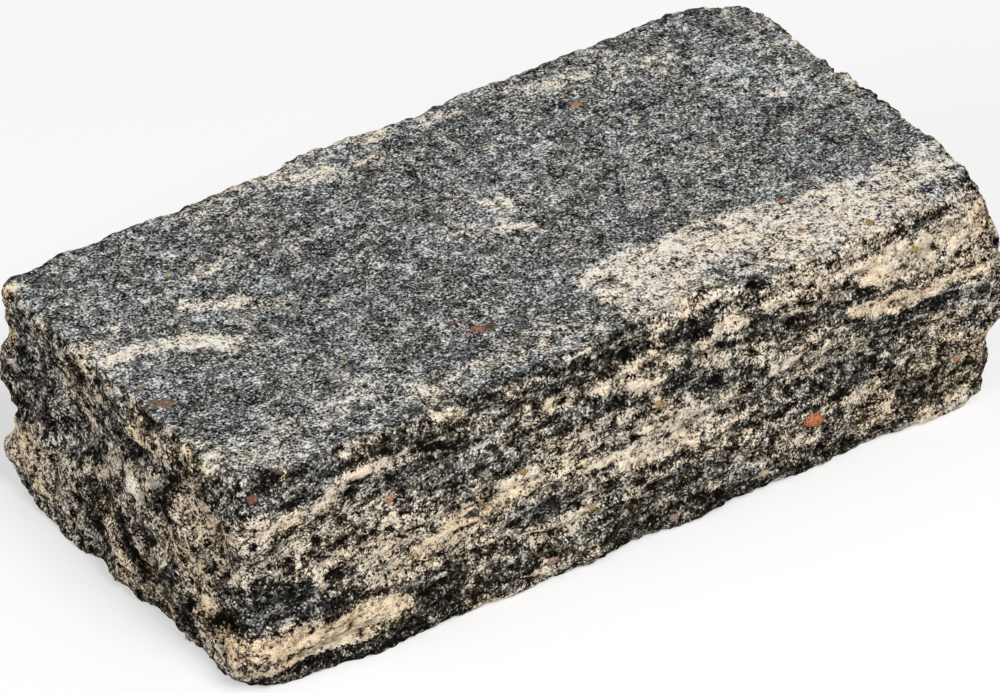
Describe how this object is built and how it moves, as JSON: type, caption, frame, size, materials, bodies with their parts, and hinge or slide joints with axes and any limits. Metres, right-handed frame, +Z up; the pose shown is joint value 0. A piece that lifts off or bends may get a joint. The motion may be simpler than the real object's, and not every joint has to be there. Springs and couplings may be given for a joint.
{
  "type": "concrete wall block",
  "caption": "Solid rectangular wall block of two-tone dark and cream concrete, flat above and below, split rough on its upright sides, for laying in courses.",
  "frame": {"origin": "centre of the lower bed, on the ground that the block lies on", "axes": "+X along the block's length, +Y from the show face to the back, +Z up through its height"},
  "size_m": [0.289, 0.1496, 0.08],
  "materials": {
    "concrete": "rough split concrete, dark anthracite veined with cream"
  },
  "bodies": {
    "root": {"wall_block": "concrete"}
  },
  "joints": []
}
